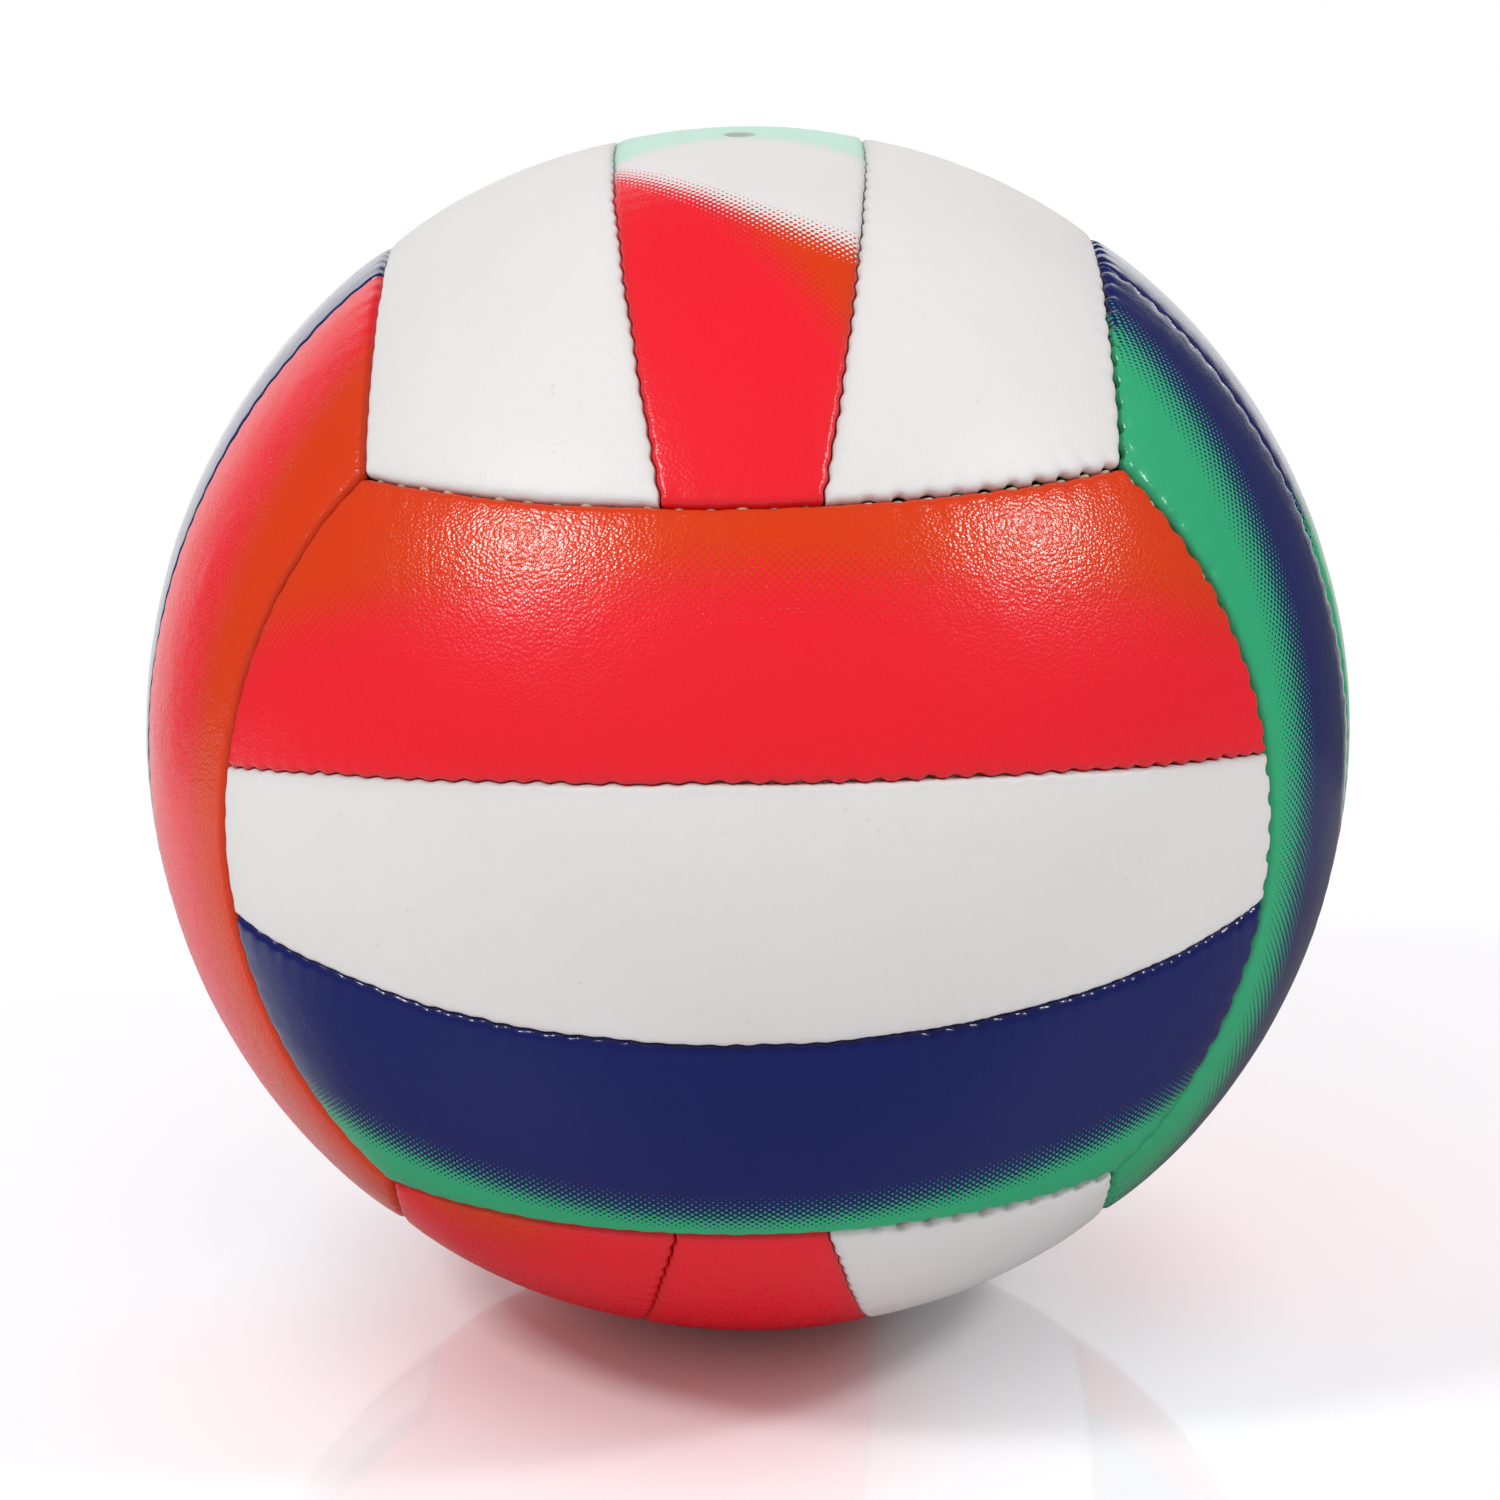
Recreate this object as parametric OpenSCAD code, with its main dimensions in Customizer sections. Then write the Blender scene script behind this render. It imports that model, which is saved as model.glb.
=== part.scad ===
// Volleyball with eighteen stitched panels: six faces of three parallel strips.
// Origin at the ball's centre, +Z out through the valve, -Y the face that looks at the viewer.
// A panel is a cover with its edges turned in, a foam pad in that tray and a cloth lining.
// The panels lie on a rubber bladder, which carries the valve.

/* [Ball] */
// Diameter over the panels
ball_d = 210; // [190:1:230]
// Angle from the middle of a face to the seams between its strips
strip_angle = 11.7; // [10:0.1:13]

/* [Panel layers] */
// Thickness of the cover's coated skin, also where its edges are turned in
skin_t = 1.4; // [1.1:0.1:1.8]
// Thickness of the foam pad
foam_t = 3.4; // [2.6:0.1:4.2]
// Thickness of the cloth lining
lining_t = 0.8; // [0.6:0.1:1.4]
// Clearance between layers that lie on each other
layer_gap = 0.05; // [0.04:0.01:0.1]

/* [Seams] */
// Width of the gap between two panels
seam_gap = 0.6; // [0.5:0.05:0.9]
// Half width of the valley over a seam
valley_half_w = 1.8; // [1.2:0.1:2.4]
// Depth of the valley over a seam
valley_depth = 1; // [0.7:0.1:1.05]
// Diameter of the sewing thread
thread_d = 0.45; // [0.3:0.05:0.45]
// Depth of the thread's middle below the surface
thread_depth = 2; // [1.6:0.1:2.6]
// Length of seam left free where threads meet
thread_end_gap = 1.2; // [0.8:0.1:2]

/* [Bladder and valve] */
// Wall of the rubber bladder
bladder_t = 1.2; // [0.9:0.1:1.6]
// Diameter of the valve hole in the cover
valve_hole_d = 5.2; // [5:0.1:6]
// Diameter of the rubber flange that bonds the valve to the bladder
flange_d = 30; // [24:1:34]
// Outer diameter of the valve housing's stem
stem_d = 10; // [9:0.5:12]
// How far the housing reaches in under the bladder
housing_tail = 5; // [4:0.5:7]
// Diameter of the valve core's plug
core_d = 4.6; // [4:0.1:4.8]
// Depth of the core's top below the surface
core_recess = 1.6; // [1.5:0.1:2.2]
// Diameter of the head that keeps the core in its housing
core_head_d = 7.4; // [6.6:0.1:8]
// Thickness of the core's head
core_head_t = 1.6; // [1.2:0.1:2]
// Diameter of the needle bore in the core
needle_d = 1.9; // [1.8:0.1:2.4]
// Depth of the needle bore, down to the core's closed slit
needle_depth = 8.5; // [7:0.5:9]
// Diameter of the cloth patch behind the valve hole
patch_d = 22; // [16:1:24]
// Thickness of the cloth patch
patch_t = 0.6; // [0.4:0.1:0.8]
// Clearance round the stem, the core, the flange and the patch
valve_gap = 0.1; // [0.05:0.05:0.2]

/* [Hidden] */

$fn = 96;
red_skin = [0.90, 0.04, 0.07];
orange_skin = [0.85, 0.16, 0.03];
white_skin = [0.86, 0.86, 0.87];
navy_skin = [0.05, 0.07, 0.28];
green_skin = [0.12, 0.55, 0.33];
foam_tint = [0.93, 0.93, 0.90];
cloth_tint = [0.80, 0.78, 0.72];
rubber_tint = [0.10, 0.10, 0.11];
thread_tint = [0.88, 0.86, 0.78];

// Radii of the layers, from outside in
ball_r = ball_d / 2;
skin_in_r = ball_r - skin_t;
foam_out_r = skin_in_r - layer_gap;
foam_in_r = foam_out_r - foam_t;
lining_out_r = foam_in_r - layer_gap;
lining_in_r = lining_out_r - lining_t;
bladder_out_r = lining_in_r - layer_gap;
bladder_in_r = bladder_out_r - bladder_t;
patch_in_r = foam_out_r - patch_t;
stem_top_r = patch_in_r - layer_gap;
tail_z = bladder_in_r - housing_tail;
core_top_z = ball_r - core_recess;
needle_floor_z = core_top_z - needle_depth;

// A size that reaches past the ball on every side
past = ball_d;
// How far a cutting shape reaches out past the surface
overrun = 5 * valley_depth;

// The seams round the faces pass through the corners of a cube set in the ball, so each is
// a circle that lies at this angle round the face's outward direction
corner_angle = acos(1 / sqrt(3));
// Half the angle that a seam between two strips spans
strip_seam_angle = acos(1 / (sqrt(3) * cos(strip_angle)));
// Radius of the sphere that the threads lie on
thread_r = ball_r - thread_depth;

// Angle at the centre for a length along the surface
function turn(length) = length / ball_r * 180 / PI;

// Each face is drawn looking out along +Z with its strips along X, then turned to its place
module on_front() {
    rotate([90, 0, 0]) children();
}
module on_back() {
    rotate([90, 0, 180]) children();
}
module on_top() {
    rotate([0, 0, -90]) children();
}
module on_bottom() {
    rotate([180, 0, 90]) children();
}
module on_left() {
    rotate([0, -90, 0]) children();
}
module on_right() {
    rotate([0, 90, 0]) children();
}

// A ball with its poles where no panel of the face lies
module round_ball(r) {
    rotate([0, 90, 0]) sphere(r);
}

// The wall between two radii
module wall(outer_r, inner_r) {
    difference() {
        round_ball(outer_r);
        round_ball(inner_r);
    }
}

// Everything within an angle of +Z
module cone(angle) {
    cylinder(h = past, r1 = 0, r2 = past * tan(angle));
}

// Everything beyond the seam between the middle strip and the strip on the +Y side
module beyond_strip_seam(inset) {
    rotate([-strip_angle, 0, 0])
        translate([-past, inset, -past])
            cube([2 * past, past, 2 * past]);
}

// Everything short of that seam
module short_of_strip_seam(inset) {
    rotate([-strip_angle, 0, 0])
        translate([-past, -past - inset, -past])
            cube([2 * past, past, 2 * past]);
}

// The wall between two radii, kept to the middle strip of a face; inset draws its edges in
module middle_wall(outer_r, inner_r, inset) {
    side = seam_gap / 2 + inset;
    intersection() {
        wall(outer_r, inner_r);
        cone(corner_angle - turn(side));
        short_of_strip_seam(side);
        mirror([0, 1, 0]) short_of_strip_seam(side);
    }
}

// The same for the strip on the face's +Y side
module outer_wall(outer_r, inner_r, inset) {
    side = seam_gap / 2 + inset;
    difference() {
        intersection() {
            wall(outer_r, inner_r);
            cone(corner_angle - turn(side));
            beyond_strip_seam(side);
        }
        rotate([-90, 0, 0]) cone(corner_angle + turn(side));
    }
}

// A point of an outline, at a radius from the ball's middle and an angle round +Z
function polar(r, angle) = [r * sin(angle), r * cos(angle)];

// The radius, at a height on its axis, of the cone through two points of an outline
function cone_r(p, q, z) = p[0] + (z - p[1]) * (q[0] - p[0]) / (q[1] - p[1]);

// Everything within that cone, up to a height
module within_cone(p, q, top) {
    cylinder(h = top, r1 = cone_r(p, q, 0), r2 = cone_r(p, q, top));
}

// The shoulder that slopes into the valley at both ends of a strip
module end_shoulder() {
    within_cone(
        polar(ball_r, corner_angle - turn(valley_half_w)),
        polar(ball_r - valley_depth, corner_angle - turn(seam_gap / 2)),
        ball_r + overrun
    );
}

// The shoulder along the seam that closes the face on its +Y side
module long_shoulder() {
    rotate([-90, 0, 0])
        within_cone(
            polar(ball_r, corner_angle + turn(valley_half_w)),
            polar(ball_r - valley_depth, corner_angle + turn(seam_gap / 2)),
            ball_r * cos(corner_angle)
        );
}

// The shoulder along the seam between the middle strip and the strip on the +Y side;
// side is 1 for the strip beyond the seam and -1 for the middle one
module strip_shoulder(side) {
    rotate([-strip_angle, 0, 0])
        rotate([-90 * side, 0, 0])
            within_cone(
                [ball_r, valley_half_w],
                [ball_r - valley_depth, seam_gap / 2],
                ball_r + overrun
            );
}

// A cover: a tray of coated cloth with its edges turned in as deep as the foam pad
module middle_cover() {
    difference() {
        intersection() {
            middle_wall(ball_r, foam_in_r, 0);
            end_shoulder();
            strip_shoulder(-1);
            mirror([0, 1, 0]) strip_shoulder(-1);
        }
        middle_wall(skin_in_r, foam_in_r - skin_t, skin_t);
    }
}
module outer_cover() {
    difference() {
        intersection() {
            outer_wall(ball_r, foam_in_r, 0);
            end_shoulder();
            strip_shoulder(1);
            long_shoulder();
        }
        outer_wall(skin_in_r, foam_in_r - skin_t, skin_t);
    }
}

// A foam pad, which fills the tray
module middle_foam() {
    middle_wall(foam_out_r, foam_in_r, skin_t + layer_gap);
}
module outer_foam() {
    outer_wall(foam_out_r, foam_in_r, skin_t + layer_gap);
}

// A cloth lining behind the pad and the turned-in edges
module middle_lining() {
    middle_wall(lining_out_r, lining_in_r, 0);
}
module outer_lining() {
    outer_wall(lining_out_r, lining_in_r, 0);
}

// A strip on the face's -Y side, from one on its +Y side
module other_side() {
    mirror([0, 1, 0]) children();
}

// A hole along the valve's axis
module valve_cut(d) {
    cylinder(h = past, d = d);
}

// The cover that holds the valve hole
module valve_cover() {
    difference() {
        middle_cover();
        valve_cut(valve_hole_d);
    }
}

// The pad that lets the valve's stem through and makes room for the patch
module valve_foam() {
    difference() {
        middle_foam();
        valve_cut(stem_d + 2 * valve_gap);
        difference() {
            valve_cut(patch_d + 2 * valve_gap);
            round_ball(patch_in_r - layer_gap);
        }
    }
}

// The lining that makes room for the valve's flange
module valve_lining() {
    difference() {
        middle_lining();
        valve_cut(flange_d + 2 * valve_gap);
    }
}

// Front face
module front_upper_cover() {
    color(red_skin) on_front() outer_cover();
}
module front_middle_cover() {
    color(white_skin) on_front() middle_cover();
}
module front_lower_cover() {
    color(navy_skin) on_front() other_side() outer_cover();
}
module front_upper_foam() {
    color(foam_tint) on_front() outer_foam();
}
module front_middle_foam() {
    color(foam_tint) on_front() middle_foam();
}
module front_lower_foam() {
    color(foam_tint) on_front() other_side() outer_foam();
}
module front_upper_lining() {
    color(cloth_tint) on_front() outer_lining();
}
module front_middle_lining() {
    color(cloth_tint) on_front() middle_lining();
}
module front_lower_lining() {
    color(cloth_tint) on_front() other_side() outer_lining();
}

// Back face
module back_upper_cover() {
    color(navy_skin) on_back() outer_cover();
}
module back_middle_cover() {
    color(white_skin) on_back() middle_cover();
}
module back_lower_cover() {
    color(red_skin) on_back() other_side() outer_cover();
}
module back_upper_foam() {
    color(foam_tint) on_back() outer_foam();
}
module back_middle_foam() {
    color(foam_tint) on_back() middle_foam();
}
module back_lower_foam() {
    color(foam_tint) on_back() other_side() outer_foam();
}
module back_upper_lining() {
    color(cloth_tint) on_back() outer_lining();
}
module back_middle_lining() {
    color(cloth_tint) on_back() middle_lining();
}
module back_lower_lining() {
    color(cloth_tint) on_back() other_side() outer_lining();
}

// Top face
module top_left_cover() {
    color(white_skin) on_top() other_side() outer_cover();
}
module top_middle_cover() {
    color(red_skin) on_top() valve_cover();
}
module top_right_cover() {
    color(white_skin) on_top() outer_cover();
}
module top_left_foam() {
    color(foam_tint) on_top() other_side() outer_foam();
}
module top_middle_foam() {
    color(foam_tint) on_top() valve_foam();
}
module top_right_foam() {
    color(foam_tint) on_top() outer_foam();
}
module top_left_lining() {
    color(cloth_tint) on_top() other_side() outer_lining();
}
module top_middle_lining() {
    color(cloth_tint) on_top() valve_lining();
}
module top_right_lining() {
    color(cloth_tint) on_top() outer_lining();
}

// Bottom face
module bottom_left_cover() {
    color(red_skin) on_bottom() other_side() outer_cover();
}
module bottom_middle_cover() {
    color(red_skin) on_bottom() middle_cover();
}
module bottom_right_cover() {
    color(white_skin) on_bottom() outer_cover();
}
module bottom_left_foam() {
    color(foam_tint) on_bottom() other_side() outer_foam();
}
module bottom_middle_foam() {
    color(foam_tint) on_bottom() middle_foam();
}
module bottom_right_foam() {
    color(foam_tint) on_bottom() outer_foam();
}
module bottom_left_lining() {
    color(cloth_tint) on_bottom() other_side() outer_lining();
}
module bottom_middle_lining() {
    color(cloth_tint) on_bottom() middle_lining();
}
module bottom_right_lining() {
    color(cloth_tint) on_bottom() outer_lining();
}

// Left face
module left_front_cover() {
    color(orange_skin) on_left() other_side() outer_cover();
}
module left_middle_cover() {
    color(white_skin) on_left() middle_cover();
}
module left_back_cover() {
    color(navy_skin) on_left() outer_cover();
}
module left_front_foam() {
    color(foam_tint) on_left() other_side() outer_foam();
}
module left_middle_foam() {
    color(foam_tint) on_left() middle_foam();
}
module left_back_foam() {
    color(foam_tint) on_left() outer_foam();
}
module left_front_lining() {
    color(cloth_tint) on_left() other_side() outer_lining();
}
module left_middle_lining() {
    color(cloth_tint) on_left() middle_lining();
}
module left_back_lining() {
    color(cloth_tint) on_left() outer_lining();
}

// Right face
module right_front_cover() {
    color(green_skin) on_right() other_side() outer_cover();
}
module right_middle_cover() {
    color(navy_skin) on_right() middle_cover();
}
module right_back_cover() {
    color(red_skin) on_right() outer_cover();
}
module right_front_foam() {
    color(foam_tint) on_right() other_side() outer_foam();
}
module right_middle_foam() {
    color(foam_tint) on_right() middle_foam();
}
module right_back_foam() {
    color(foam_tint) on_right() outer_foam();
}
module right_front_lining() {
    color(cloth_tint) on_right() other_side() outer_lining();
}
module right_middle_lining() {
    color(cloth_tint) on_right() middle_lining();
}
module right_back_lining() {
    color(cloth_tint) on_right() outer_lining();
}

// The bladder: a rubber ball with a hole for the valve
module bladder() {
    color(rubber_tint)
        difference() {
            wall(bladder_out_r, bladder_in_r);
            valve_cut(stem_d + 2 * valve_gap);
        }
}

// The valve's housing: a flange bonded to the bladder, and a stem bored for the core
module valve_housing() {
    color(rubber_tint)
        difference() {
            union() {
                intersection() {
                    wall(lining_out_r, bladder_out_r + layer_gap);
                    valve_cut(flange_d);
                }
                intersection() {
                    round_ball(stem_top_r);
                    translate([0, 0, tail_z]) cylinder(h = stem_top_r, d = stem_d);
                }
            }
            valve_cut(core_d + 2 * valve_gap);
        }
}

// The valve's core: a plug with a head under the housing and a blind bore for the needle
module valve_core() {
    head_top_z = tail_z - layer_gap;
    color(rubber_tint)
        difference() {
            union() {
                translate([0, 0, head_top_z - core_head_t])
                    cylinder(h = core_head_t, d = core_head_d);
                translate([0, 0, head_top_z - core_head_t])
                    cylinder(h = core_top_z - head_top_z + core_head_t, d = core_d);
            }
            translate([0, 0, needle_floor_z])
                cylinder(h = past, d = needle_d);
        }
}

// The patch: a ring of cloth glued behind the cover round its valve hole
module valve_patch() {
    color(cloth_tint)
        difference() {
            intersection() {
                wall(foam_out_r, patch_in_r);
                valve_cut(patch_d);
            }
            valve_cut(valve_hole_d);
        }
}

// A thread along an arc round +Z, whose middle is at +X and whose circle lies at an angle
module thread_arc(seam, half_angle) {
    trim = thread_end_gap / (thread_r * sin(seam)) * 180 / PI;
    rotate([0, 0, trim - half_angle])
        rotate_extrude(angle = 2 * (half_angle - trim))
            translate([thread_r * sin(seam), thread_r * cos(seam)])
                circle(d = thread_d, $fn = 24);
}

// The threads at the two short ends of a face, which also close its neighbours' long edges
module end_threads() {
    thread_arc(corner_angle, 45);
    rotate([0, 0, 180]) thread_arc(corner_angle, 45);
}

// The threads along the two seams between a face's strips
module strip_threads() {
    for (side = [-1, 1])
        rotate([-strip_angle * side, 0, 0])
            rotate([0, -90, -90])
                thread_arc(90, strip_seam_angle);
}

// The thread of the twelve seams round the faces
module face_seam_thread() {
    color(thread_tint) {
        on_front() end_threads();
        on_back() end_threads();
        on_top() end_threads();
        on_bottom() end_threads();
        on_left() end_threads();
        on_right() end_threads();
    }
}

// The thread of the twelve seams between strips
module strip_seam_thread() {
    color(thread_tint) {
        on_front() strip_threads();
        on_back() strip_threads();
        on_top() strip_threads();
        on_bottom() strip_threads();
        on_left() strip_threads();
        on_right() strip_threads();
    }
}

front_upper_cover();
front_middle_cover();
front_lower_cover();
back_upper_cover();
back_middle_cover();
back_lower_cover();
top_left_cover();
top_middle_cover();
top_right_cover();
bottom_left_cover();
bottom_middle_cover();
bottom_right_cover();
left_front_cover();
left_middle_cover();
left_back_cover();
right_front_cover();
right_middle_cover();
right_back_cover();
front_upper_foam();
front_middle_foam();
front_lower_foam();
back_upper_foam();
back_middle_foam();
back_lower_foam();
top_left_foam();
top_middle_foam();
top_right_foam();
bottom_left_foam();
bottom_middle_foam();
bottom_right_foam();
left_front_foam();
left_middle_foam();
left_back_foam();
right_front_foam();
right_middle_foam();
right_back_foam();
front_upper_lining();
front_middle_lining();
front_lower_lining();
back_upper_lining();
back_middle_lining();
back_lower_lining();
top_left_lining();
top_middle_lining();
top_right_lining();
bottom_left_lining();
bottom_middle_lining();
bottom_right_lining();
left_front_lining();
left_middle_lining();
left_back_lining();
right_front_lining();
right_middle_lining();
right_back_lining();
bladder();
valve_housing();
valve_core();
valve_patch();
face_seam_thread();
strip_seam_thread();
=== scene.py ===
"""A stitched volleyball of eighteen padded panels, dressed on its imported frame."""
import math

import bmesh
import bpy
from mathutils import Matrix, Vector


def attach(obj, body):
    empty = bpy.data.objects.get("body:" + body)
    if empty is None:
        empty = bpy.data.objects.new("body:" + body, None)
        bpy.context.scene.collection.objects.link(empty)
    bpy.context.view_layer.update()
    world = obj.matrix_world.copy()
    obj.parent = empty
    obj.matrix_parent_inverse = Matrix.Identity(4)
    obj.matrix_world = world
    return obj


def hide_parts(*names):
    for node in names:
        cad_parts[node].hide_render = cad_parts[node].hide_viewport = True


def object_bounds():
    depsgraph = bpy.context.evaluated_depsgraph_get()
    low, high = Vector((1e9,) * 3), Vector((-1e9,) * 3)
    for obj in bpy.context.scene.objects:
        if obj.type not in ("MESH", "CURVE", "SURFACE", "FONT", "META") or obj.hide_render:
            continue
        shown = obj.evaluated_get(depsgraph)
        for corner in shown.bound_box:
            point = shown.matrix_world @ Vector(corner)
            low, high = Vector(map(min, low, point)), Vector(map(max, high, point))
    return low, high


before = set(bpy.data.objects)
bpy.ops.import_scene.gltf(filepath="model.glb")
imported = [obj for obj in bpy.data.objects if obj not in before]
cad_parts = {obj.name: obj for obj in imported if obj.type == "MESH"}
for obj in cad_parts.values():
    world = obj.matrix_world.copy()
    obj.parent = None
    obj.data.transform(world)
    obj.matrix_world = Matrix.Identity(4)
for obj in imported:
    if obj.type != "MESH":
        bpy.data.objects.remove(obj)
cad_low, cad_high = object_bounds()
scene = bpy.context.scene
scene.view_settings.view_transform = "Standard"

# The camera stands seven ball radii away and looks down at the ball, which lies a little above the
# middle of a square picture. Its place and lens were fitted to the seams.
ball_radius = (cad_high.z - cad_low.z) / 2
picture_px = 1500
focal_px = 4178
ball_middle_px = (748, 728.7)
camera_distance = 7 * ball_radius
camera_pitch = math.radians(16.58)
camera_roll = math.radians(0.755)
sensor_width_mm = 36

upright = Matrix(((1, 0, 0), (0, 0, 1), (0, -1, 0)))
to_camera = Matrix.Rotation(camera_pitch, 3, "X") @ Matrix.Rotation(camera_roll, 3, "Z") @ upright
toward_ball = Vector((
    (ball_middle_px[0] - picture_px / 2) / focal_px,
    (picture_px / 2 - ball_middle_px[1]) / focal_px,
    -1,
)).normalized()
camera_data = bpy.data.cameras.new("camera")
camera_data.sensor_width = sensor_width_mm
camera_data.lens = focal_px / picture_px * sensor_width_mm
camera = bpy.data.objects.new("camera", camera_data)
camera_place = -(to_camera.transposed() @ (toward_ball * camera_distance))
camera.matrix_world = Matrix.Translation(camera_place) @ to_camera.transposed().to_4x4()
scene.collection.objects.link(camera)
scene.camera = camera

# The covers: eighteen trays of coated synthetic leather, three strips on each of six faces. Each is
# sewn to its neighbours through its turned-in edges, and the stitches pull notches into its outline,
# deeper where they sit loose. Geometry Nodes shape each tray from a block, by its distance to the seams.
mm = 0.001
wave = 2 * math.pi
strip_angle = math.radians(11.7)
corner_height = 1 / math.sqrt(3)
corner_angle = math.acos(corner_height)
seam_slope = math.sin(corner_angle)
face_pitch = 4.95 * mm
strip_pitch = 4.1 * mm
valve_hole = 5.2 * mm
seam_gap = 0.14 * mm


class Flow:
    """A socket of a node tree. An expression on flows adds its Math nodes; node() adds any other."""

    def __init__(self, tree, socket=None):
        self.tree = tree
        self.socket = socket

    def node(self, kind, settings=None, sockets=None, out=0):
        made = self.tree.nodes.new(kind)
        for name, value in (settings or {}).items():
            setattr(made, name, value)
        for key, value in (sockets or {}).items():
            if isinstance(value, Flow):
                self.tree.links.new(value.socket, made.inputs[key])
            else:
                made.inputs[key].default_value = value
        return Flow(self.tree, made.outputs[out])

    def also(self, out):
        return Flow(self.tree, self.socket.node.outputs[out])

    def math(self, operation, *values):
        return self.node("ShaderNodeMath", {"operation": operation}, dict(enumerate(values)))

    def vector(self, operation, *values, out=0):
        return self.node("ShaderNodeVectorMath", {"operation": operation}, dict(enumerate(values)), out)

    def __add__(self, other):
        return self.math("ADD", self, other)

    def __radd__(self, other):
        return self.math("ADD", other, self)

    def __sub__(self, other):
        return self.math("SUBTRACT", self, other)

    def __rsub__(self, other):
        return self.math("SUBTRACT", other, self)

    def __mul__(self, other):
        return self.math("MULTIPLY", self, other)

    def __rmul__(self, other):
        return self.math("MULTIPLY", other, self)

    def __truediv__(self, other):
        return self.math("DIVIDE", self, other)

    def __rtruediv__(self, other):
        return self.math("DIVIDE", other, self)

    def __pow__(self, other):
        return self.math("POWER", self, other)

    def __neg__(self):
        return self.math("MULTIPLY", self, -1)

    def __abs__(self):
        return self.math("ABSOLUTE", self)

    def __gt__(self, other):
        return self.math("GREATER_THAN", self, other)

    def at_most(self, other):
        return self.math("MINIMUM", self, other)

    def at_least(self, other):
        return self.math("MAXIMUM", self, other)

    def clamped(self):
        return self.at_least(0).at_most(1)

    def sine(self):
        return self.math("SINE", self)

    def cosine(self):
        return self.math("COSINE", self)

    def arcsine(self):
        return self.math("ARCSINE", self)

    def arccosine(self):
        return self.math("ARCCOSINE", self)

    def root(self):
        return self.math("SQRT", self.at_least(0))

    def fading(self, reach):
        """1 at zero, falling to a third at the reach."""
        return self.math("EXPONENT", self / -reach)

    def eased(self, low, high):
        """0 up to low, 1 from high on, and a smooth step between."""
        ends = {"Value": self, "From Min": low, "From Max": high}
        return self.node("ShaderNodeMapRange", {"interpolation_type": "SMOOTHSTEP"}, ends)

    def dot(self, other):
        return self.vector("DOT_PRODUCT", self, other, out="Value")

    def scaled(self, factor):
        sockets = {0: self, "Scale": factor}
        return self.node("ShaderNodeVectorMath", {"operation": "SCALE"}, sockets)

    def moved(self, other):
        return self.vector("ADD", self, other)

    def noise(self, scale, detail=2, roughness=0.5):
        """Smooth noise from 0 to 1 over a place."""
        sockets = {"Vector": self, "Scale": scale, "Detail": detail, "Roughness": roughness}
        return self.node("ShaderNodeTexNoise", None, sockets)

    def between(self, first, second, blend="MIX"):
        """The first colour where this factor is 0 and the second where it is 1."""
        settings = {"data_type": "RGBA", "blend_type": blend}
        return self.node("ShaderNodeMix", settings, {0: self, 6: first, 7: second}, 2)


def seam_lines(along, across, outward, outer):
    """Distances to a strip's end seam and its side seams, and how far on in its stitch each place is."""
    end_gap = (corner_angle - outward.arccosine()) * ball_radius
    end_phase = across.math("ARCTAN2", across, abs(along)) * (ball_radius * seam_slope / face_pitch)
    sin_strip = math.sin(strip_angle)
    cos_strip = math.cos(strip_angle)
    if outer:
        strip_gap = (across * cos_strip - outward * sin_strip).arcsine() * ball_radius
    else:
        strip_gap = (outward * sin_strip - abs(across) * cos_strip).arcsine() * ball_radius
    strip_phase = along.arcsine() * (ball_radius / strip_pitch)
    long_gap = (across.arccosine() - corner_angle) * ball_radius
    long_phase = along.math("ARCTAN2", along, outward) * (ball_radius * seam_slope / face_pitch)
    return (end_gap, end_phase), (strip_gap, strip_phase), (long_gap, long_phase)


def new_tree(name, defaults):
    """A Geometry Nodes tree with one input for each default, and its inputs as flows."""
    kinds = {float: "NodeSocketFloat", int: "NodeSocketInt", tuple: "NodeSocketVector"}
    tree = bpy.data.node_groups.new(name, "GeometryNodeTree")
    tree.interface.new_socket("Geometry", in_out="OUTPUT", socket_type="NodeSocketGeometry")
    tree.interface.new_socket("Geometry", in_out="INPUT", socket_type="NodeSocketGeometry")
    for label, value in defaults.items():
        made = tree.interface.new_socket(label, in_out="INPUT", socket_type=kinds[type(value)])
        made.default_value = value
    tree.interface.new_socket("Material", in_out="INPUT", socket_type="NodeSocketMaterial")
    source = Flow(tree).node("NodeGroupInput")
    flows = {label: source.also(label) for label in [*defaults, "Geometry", "Material"]}
    return tree, flows


def close_tree(geometry, material):
    """Ends a tree with real geometry that carries the material."""
    real = geometry.node("GeometryNodeRealizeInstances", None, {"Geometry": geometry})
    smooth = real.node("GeometryNodeSetShadeSmooth", None, {"Geometry": real})
    dressed = smooth.node("GeometryNodeSetMaterial", None, {"Geometry": smooth, "Material": material})
    end = dressed.tree.nodes.new("NodeGroupOutput")
    dressed.tree.links.new(dressed.socket, end.inputs["Geometry"])


def grown(tree, name, material, values=None, seed_mesh=None):
    """The plain mesh that a tree makes, as an object at the origin."""
    piece = bpy.data.objects.new(name, seed_mesh or bpy.data.meshes.new(name + "_seed"))
    scene.collection.objects.link(piece)
    modifier = piece.modifiers.new("shape", "NODES")
    modifier.node_group = tree
    for item in tree.interface.items_tree:
        if item.in_out == "INPUT" and item.name in (values or {}):
            modifier[item.identifier] = values[item.name]
        if item.in_out == "INPUT" and item.name == "Material":
            modifier[item.identifier] = material
    shown = piece.evaluated_get(bpy.context.evaluated_depsgraph_get())
    mesh = bpy.data.meshes.new_from_object(shown)
    mesh.name = name
    piece.modifiers.remove(modifier)
    piece.data = mesh
    return piece


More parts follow.
